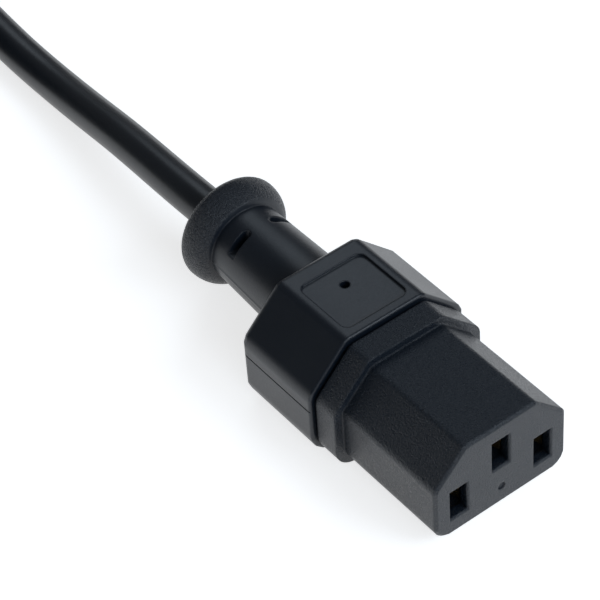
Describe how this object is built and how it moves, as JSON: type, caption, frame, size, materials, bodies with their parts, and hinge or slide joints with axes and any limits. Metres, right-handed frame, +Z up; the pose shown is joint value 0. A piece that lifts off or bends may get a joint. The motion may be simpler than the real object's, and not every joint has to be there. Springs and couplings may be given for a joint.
{
  "type": "c13 power connector",
  "caption": "Straight moulded appliance power connector with bevelled nose, slotted face, grip, slit strain relief and ring, on a hanked jumper cord that ends in a matching plug.",
  "frame": {"origin": "on the surface the connector lies on, under the middle of the connector without its cord", "axes": "+Z up, -Y out of the engagement face, +Y along the cord, X across; the connector is symmetric about X = 0"},
  "size_m": [0.0618, 0.25, 0.0349],
  "materials": {
    "housing_plastic": "fine matte",
    "hood_pvc": "smooth satin",
    "mould_plastic": "plain",
    "contact_brass": "bright",
    "copper_wire": "bare copper",
    "core_brown": "plain",
    "core_blue": "plain",
    "core_green": "plain",
    "strap_fabric": "woven",
    "cord_pvc": "satin"
  },
  "bodies": {
    "root": {"front_housing": "housing_plastic", "hood": "hood_pvc", "inner_mould": "mould_plastic", "contact_line": "contact_brass", "contact_neutral": "contact_brass", "contact_earth": "contact_brass", "core_line": "core_brown", "core_neutral": "core_blue", "core_earth": "core_green", "conductor_line": "copper_wire", "conductor_neutral": "copper_wire", "conductor_earth": "copper_wire", "cord_lead": "cord_pvc", "cord_hank": "cord_pvc", "hank_strap": "strap_fabric", "cord_tail": "cord_pvc", "plug_housing": "housing_plastic", "plug_hood": "hood_pvc", "plug_inner_mould": "mould_plastic", "pin_line": "contact_brass", "pin_neutral": "contact_brass", "pin_earth": "contact_brass", "plug_core_line": "core_brown", "plug_core_neutral": "core_blue", "plug_core_earth": "core_green", "plug_conductor_line": "copper_wire", "plug_conductor_neutral": "copper_wire", "plug_conductor_earth": "copper_wire"}
  },
  "joints": []
}
